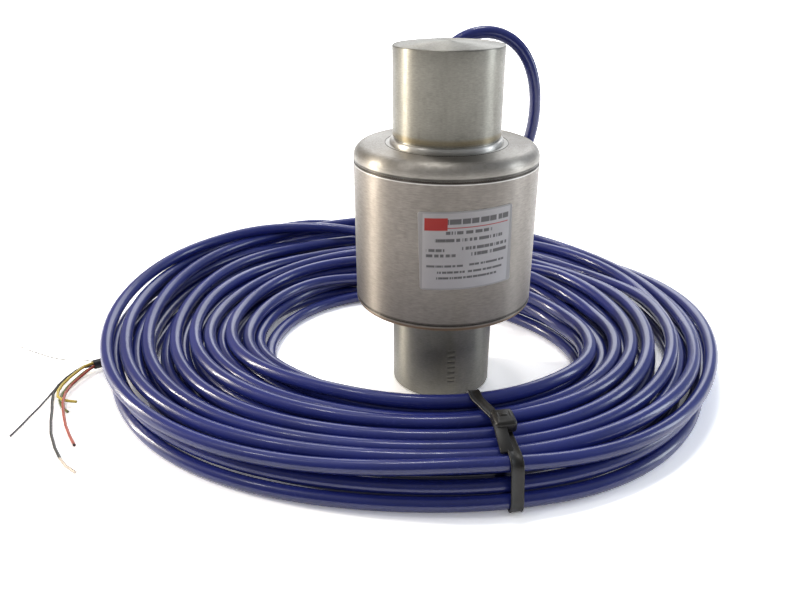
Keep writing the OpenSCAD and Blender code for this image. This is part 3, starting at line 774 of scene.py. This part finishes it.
core_yellow = wire_finish("core_yellow", (0.84, 0.68, 0.13), (0.70, 0.50, 0.07))
core_green = wire_finish("core_green", (0.22, 0.25, 0.05), (0.13, 0.15, 0.03))
TOWARDS_TIP = (0, -1, 0)
core_red = wire_finish(
    "core_red", (0.62, 0.13, 0.07), (0.42, 0.06, 0.04), TOWARDS_TIP, (0.03, 0.02, 0.02), 0.0672,
)
core_black = wire_finish(
    "core_black", (0.030, 0.027, 0.025), (0.018, 0.016, 0.015), TOWARDS_TIP, (0.55, 0.48, 0.42), 0.077,
)
core_grey = wire_finish("core_grey", (0.15, 0.14, 0.16), (0.10, 0.09, 0.11))


def screen_finish():
    """The tinned screen: fine strands twisted round each other, with painted shade in the grooves between
    them.
    """
    material, tree, skin, position = finish("screen_wire", (0.42, 0.41, 0.39), 0.36, 0.9)
    wave = {"Vector": position, "Scale": 900.0, "Distortion": 1.0}
    twist = add(tree, "TexWave", wave, bands_direction="DIAGONAL")
    # The darker of the two colours is painted shade between the strands.
    tone = mixed(tree, twist.outputs["Fac"], (0.45, 0.44, 0.42), (0.15, 0.14, 0.14))
    tree.links.new(tone, skin.inputs["Base Color"])
    bumped(tree, skin, twist.outputs["Fac"], 0.5, 0.0001)
    return material


screen_wire = screen_finish()

LABEL_TURN = math.radians(-75.6)
LABEL_Z = 0.0775
LABEL_R = 0.0386


def label_finish():
    """Matt film with a plain colour field, a rule and rows of short bars."""
    material, tree, skin, position = finish("label_film", (0.62, 0.60, 0.60), 0.5)
    spin = {"Vector": position, "Axis": (0, 0, 1), "Angle": -LABEL_TURN}
    turned = add(tree, "VectorRotate", spin, rotation_type="AXIS_ANGLE").outputs[0]
    place = add(tree, "SeparateXYZ", {0: turned}).outputs
    across = sum_of(tree, "MULTIPLY", sum_of(tree, "ARCTAN2", place[1], place[0]), LABEL_R * 1000)
    up = add(tree, "Math", {0: place[2], 1: 1000.0, 2: -LABEL_Z * 1000}, operation="MULTIPLY_ADD").outputs[0]
    # The film was stuck on 2 degrees out of true.
    level = add(tree, "Math", {0: across, 1: -0.035, 2: up}, operation="MULTIPLY_ADD").outputs[0]

    def between(value, low, high, soft=0.12):
        rise = ranged(tree, value, 0.0, 1.0, low - soft, low + soft)
        fall = ranged(tree, value, 1.0, 0.0, high - soft, high + soft)
        return sum_of(tree, "MULTIPLY", rise, fall)

    def oblong(left, right, low, high):
        return sum_of(tree, "MULTIPLY", between(across, left, right), between(level, low, high))

    patch = use(tree, MOTTLE, Position=position, Patches_per_metre=90.0, Contrast=1.2)
    tone = mixed(tree, patch["Patches"], (0.84, 0.81, 0.82), (0.70, 0.67, 0.68))
    # Rows of bars: left and right ends, height, thickness, and how tightly the bars follow each other.
    rows = (
        (-8.6, 17.0, 12.0, 2.1, 0.55), (-9.0, 9.5, 7.6, 1.3, 0.8), (-13.2, 14.5, 4.6, 1.3, 0.9),
        (-16.6, -9.4, 0.6, 1.2, 0.9), (-2.6, 16.8, 1.1, 1.3, 1.0), (-16.6, -5.0, -1.6, 1.2, 0.9),
        (1.2, 16.8, -1.5, 1.4, 0.9), (-16.4, -2.0, -6.0, 0.9, 1.2), (0.5, 15.8, -5.8, 0.9, 1.2),
        (-12.4, 15.6, -8.6, 0.9, 1.3), (-12.4, 12.6, -11.0, 0.9, 1.3),
    )
    ink = None
    for number, (left, right, height, thick, pace) in enumerate(rows):
        row = oblong(left, right, height - thick / 2, height + thick / 2)
        paced = sum_of(tree, "MULTIPLY", across, pace)
        where = add(tree, "CombineXYZ", {0: paced, 1: number * 7.3, 2: 0.0}).outputs[0]
        breaks = add(tree, "TexNoise", {"Vector": where, "Scale": 1.0, "Detail": 1.0}).outputs["Fac"]
        row = sum_of(tree, "MULTIPLY", row, ranged(tree, breaks, 0.0, 1.0, 0.40, 0.44))
        ink = row if ink is None else sum_of(tree, "MAXIMUM", ink, row)
    tone = mixed(tree, sum_of(tree, "MULTIPLY", ink, 0.86), tone, (0.05, 0.045, 0.05))
    field = sum_of(tree, "MAXIMUM", oblong(-17.4, -8.4, 8.6, 13.6), oblong(-16.6, 16.9, 9.35, 9.7))
    tone = mixed(tree, field, tone, (0.55, 0.035, 0.03))
    border = sum_of(tree, "SUBTRACT", 1.0, oblong(-18.1, 17.9, -15.4, 15.4))
    tone = mixed(tree, sum_of(tree, "MULTIPLY", border, 0.45), tone, (0.25, 0.24, 0.24))
    tree.links.new(tone, skin.inputs["Base Color"])
    tree.links.new(ranged(tree, patch["Patches"], 0.42, 0.56), skin.inputs["Roughness"])
    bumped(tree, skin, patch["Patches"], 0.15, 0.0002)
    return material


label_film = label_finish()

FINISHES = {
    cover_steel: ("top_cover", "bottom_cover"),
    housing_steel: ("housing_tube", "gland_socket"),
    label_film: ("rating_label",),
    gauge_foil: ("strain_gauge_front", "strain_gauge_right", "strain_gauge_rear", "strain_gauge_left"),
    inner_wire: ("gauge_wires", "entry_cores"),
    board_laminate: ("compensation_board",),
    resistor_body: ("trimming_resistors",),
    post_brass: ("solder_posts",),
    seal_rubber: ("gland_washer", "gland_grommet"),
    gland_nickel: ("gland_body", "gland_cap"),
    cable_jacket: ("cable_entry",),
    inner_sheath: ("entry_sheath", "tail_sheath"),
    core_yellow: ("core_yellow",),
    core_green: ("core_green",),
    core_red: ("core_red",),
    core_black: ("core_black",),
    core_grey: ("core_white",),
    screen_wire: ("screen_wire",),
}
for material, names in FINISHES.items():
    for name in names:
        surface = nodes[name].data
        surface.materials.clear()
        surface.materials.append(material)

for piece, material, slot in (
    (column_piece, column_steel, "column_steel"),
    (cable, cable_jacket, "cable_jacket"),
    (tie_strap, tie_nylon, "tie_nylon"),
    (tie_head_piece, tie_nylon, "tie_nylon"),
    (top_weld, weld_steel, "cover_steel"),
    (bottom_weld, weld_steel, "cover_steel"),
    (collar_weld, weld_steel, "column_steel"),
):
    piece.data.materials.append(material)
    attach(piece, "root")

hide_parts("column")
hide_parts("cable_lead", "cable_coil", "cable_tail")
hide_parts("cable_tie")
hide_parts("cable_tie")


# Floor, world and lamps
def pale_floor():
    form = bmesh.new()
    bmesh.ops.create_circle(form, cap_ends=True, segments=96, radius=40)
    floor = piece_of("floor", form)
    floor.location.z = -0.0002
    material = bpy.data.materials.new("floor_white")
    material.use_nodes = True
    tree = material.node_tree
    tree.nodes.clear()
    seen = add(tree, "LightPath").outputs
    through = sum_of(tree, "MAXIMUM", seen["Is Glossy Ray"], seen["Is Transmission Ray"])
    mask = sum_of(tree, "MAXIMUM", seen["Is Camera Ray"], through)
    bounced = add(tree, "BsdfDiffuse", {"Color": (0.34, 0.33, 0.32, 1)})
    shown = add(tree, "BsdfDiffuse", {"Color": (1.8, 1.8, 1.8, 1)})
    # Near the object the floor keeps the shadow, and further out it is plain white.
    place = add(tree, "TexCoord").outputs["Object"]
    away = add(tree, "VectorMath", {0: place}, operation="LENGTH").outputs["Value"]
    whiteness = ranged(tree, away, 0.12, 1.0, 0.22, 0.75)
    glow = add(tree, "Emission", {"Color": (1, 1, 1, 1), "Strength": whiteness})
    lit = add(tree, "AddShader", {0: shown.outputs[0], 1: glow.outputs[0]})
    both = add(tree, "MixShader", {0: mask, 1: bounced.outputs[0], 2: lit.outputs[0]})
    output = add(tree, "OutputMaterial")
    tree.links.new(both.outputs[0], output.inputs[0])
    floor.data.materials.append(material)


def studio_world():
    world = bpy.data.worlds.new("studio")
    world.use_nodes = True
    bpy.context.scene.world = world
    tree = world.node_tree
    back = tree.nodes["Background"]
    place = add(tree, "SeparateXYZ", {0: add(tree, "TexCoord").outputs["Generated"]}).outputs
    front = ranged(tree, place[1], 1.0, 0.0, -0.8, 0.1)
    side = ranged(tree, place[0], 0.0, 1.0, -0.7, 0.7)
    walls = mixed(tree, side, (0.66, 0.58, 0.50), (0.58, 0.65, 0.76))
    tone = mixed(tree, sum_of(tree, "MULTIPLY", front, 0.92), walls, (0.13, 0.13, 0.12))
    tone = mixed(tree, ranged(tree, place[2], 0.0, 0.8, 0.45, 0.95), tone, (0.60, 0.62, 0.65))
    tree.links.new(tone, back.inputs["Color"])
    back.inputs["Strength"].default_value = 0.6


def lamp(name, place, aim, size, power, colour, mirrored=True):
    data = bpy.data.lights.new(name, "AREA")
    data.shape = "RECTANGLE"
    data.size, data.size_y = size
    data.energy = power
    data.color = colour
    light = bpy.data.objects.new(name, data)
    light.location = place
    light.rotation_euler = (Vector(aim) - Vector(place)).to_track_quat("-Z", "Y").to_euler()
    light.visible_glossy = mirrored
    bpy.context.scene.collection.objects.link(light)


pale_floor()
studio_world()
lamp("ceiling_light", (-0.15, 0.35, 1.4), (0, 0, 0.05), (0.40, 0.06), 4.5, (1.0, 0.99, 0.97))
lamp("left_strip", (-1.3, 0.14, 0.35), (0, 0, 0.08), (0.08, 0.8), 14.0, (1.0, 0.93, 0.80))
lamp("left_spot", (-0.75, -0.25, 1.2), (0, 0, 0.05), (0.14, 0.14), 1.6, (1.0, 0.98, 0.95))
lamp("right_panel", (1.3, 0.15, 0.45), (0, 0, 0.08), (0.30, 0.7), 5.0, (0.88, 0.95, 1.0))
lamp("rear_panel", (0.1, 1.7, 1.0), (0, 0, 0.1), (1.5, 0.9), 13.0, (0.96, 0.98, 1.0))
lamp("front_fill", (0.2, -1.4, 1.0), (0, 0, 0.05), (1.2, 0.6), 2.5, (1.0, 1.0, 1.0), False)

bpy.context.scene.view_settings.view_transform = "Standard"
